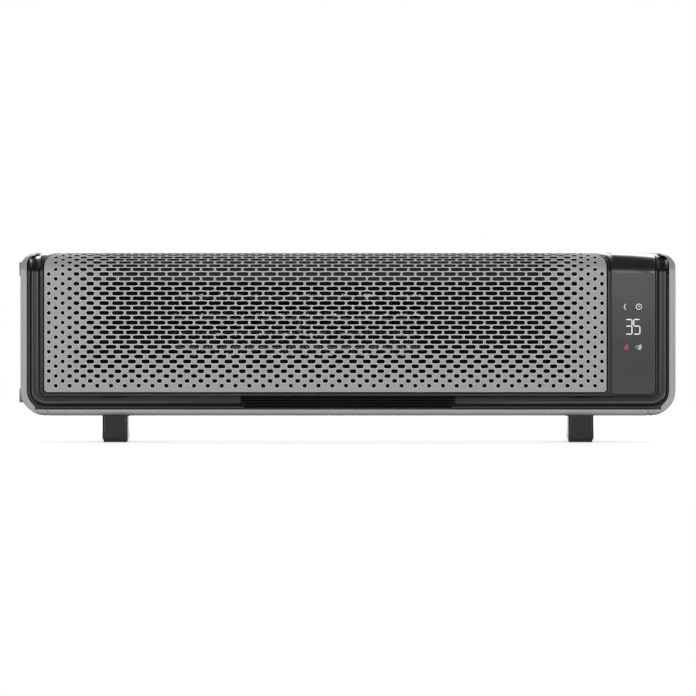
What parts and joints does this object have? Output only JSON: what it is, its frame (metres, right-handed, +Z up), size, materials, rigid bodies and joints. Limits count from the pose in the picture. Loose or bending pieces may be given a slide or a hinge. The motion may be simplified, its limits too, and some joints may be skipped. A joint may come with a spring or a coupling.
{
  "type": "fan heater",
  "caption": "Long low fan heater with a perforated wrap-over front grille, touch control panel, silver surround and two bar feet; a cross-flow blower pushes air through a finned element.",
  "frame": {"origin": "on the floor, midway between the ends and midway from front to back", "axes": "+X along the heater to the control panel's end, +Y from the grille to the back, +Z up"},
  "size_m": [0.722, 0.1377, 0.208],
  "materials": {
    "silver_trim": "satin silver paint",
    "dark_bezel": "semi-gloss moulded",
    "vent_black": "matte",
    "grille_metal": "satin metallic paint",
    "touch_panel": "smooth gloss",
    "circuit_board": "solder mask",
    "display_window": "smoked lens",
    "fin_aluminium": "mill",
    "holder_plastic": "moulded",
    "duct_steel": "galvanised, dark",
    "fan_aluminium": "pressed",
    "shaft_steel": "ground",
    "motor_steel": "zinc plated",
    "motor_iron": "laminated",
    "bush_brass": "sintered",
    "black_rubber": "moulded",
    "rear_plastic": "fine texture",
    "filter_nylon": "woven",
    "relay_plastic": "moulded",
    "terminal_plastic": "moulded",
    "capacitor_sleeve": "shrink sleeve",
    "cutout_metal": "pressed",
    "switch_plastic": "moulded",
    "foot_plastic": "fine texture",
    "screw_steel": "zinc plated"
  },
  "bodies": {
    "heater": {"left_end_cap": "silver_trim", "right_end_cap": "silver_trim", "bottom_panel": "silver_trim", "top_panel": "silver_trim", "front_bezel": "dark_bezel", "lower_vent_louvre": "vent_black", "baffle_panel": "vent_black", "grille": "grille_metal", "control_panel": "touch_panel", "display_board": "circuit_board", "power_board": "circuit_board", "display_module": "display_window", "element_rail_1": "fin_aluminium", "element_rail_2": "fin_aluminium", "element_rail_3": "fin_aluminium", "element_rail_4": "fin_aluminium", "element_fins_1": "fin_aluminium", "element_fins_2": "fin_aluminium", "element_fins_3": "fin_aluminium", "holder_left": "holder_plastic", "holder_right": "holder_plastic", "blower_end_left": "holder_plastic", "blower_end_right": "holder_plastic", "blower_scroll": "duct_steel", "blower_tongue": "duct_steel", "motor_can": "motor_steel", "motor_stator": "motor_iron", "bearing_bush": "bush_brass", "bush_rubber": "black_rubber", "sole_left": "black_rubber", "sole_right": "black_rubber", "end_pad_upper": "black_rubber", "end_pad_lower": "black_rubber", "cord_gland": "black_rubber", "rear_housing": "rear_plastic", "relay_left": "relay_plastic", "relay_right": "relay_plastic", "tilt_switch": "relay_plastic", "terminal_block": "terminal_plastic", "capacitor": "capacitor_sleeve", "thermal_cutout": "cutout_metal", "switch_body": "switch_plastic", "foot_left": "foot_plastic", "foot_right": "foot_plastic", "foot_screw_left_front": "screw_steel", "foot_screw_left_back": "screw_steel", "foot_screw_right_front": "screw_steel", "foot_screw_right_back": "screw_steel", "rear_screw_left_low": "screw_steel", "rear_screw_left_high": "screw_steel", "rear_screw_right_low": "screw_steel", "rear_screw_right_high": "screw_steel"},
    "fan": {"impeller": "fan_aluminium", "fan_shaft": "shaft_steel", "motor_rotor": "motor_iron"},
    "rocker": {"switch_rocker": "switch_plastic"},
    "intake": {"intake_cover": "rear_plastic", "filter_mesh": "filter_nylon"}
  },
  "joints": [
    {"name": "fan_spin", "type": "hinge", "parent": "heater", "child": "fan", "pos_m": [0, 0.012, 0.128], "axis": [1, 0, 0], "continuous": true},
    {"name": "rocker_tilt", "type": "hinge", "parent": "heater", "child": "rocker", "pos_m": [0.3, 0.057, 0.055], "axis": [1, 0, 0], "range_deg": [0, 16]},
    {"name": "cover_pull", "type": "slide", "parent": "heater", "child": "intake", "axis": [0, 1, 0], "range_m": [0, 0.06]}
  ]
}
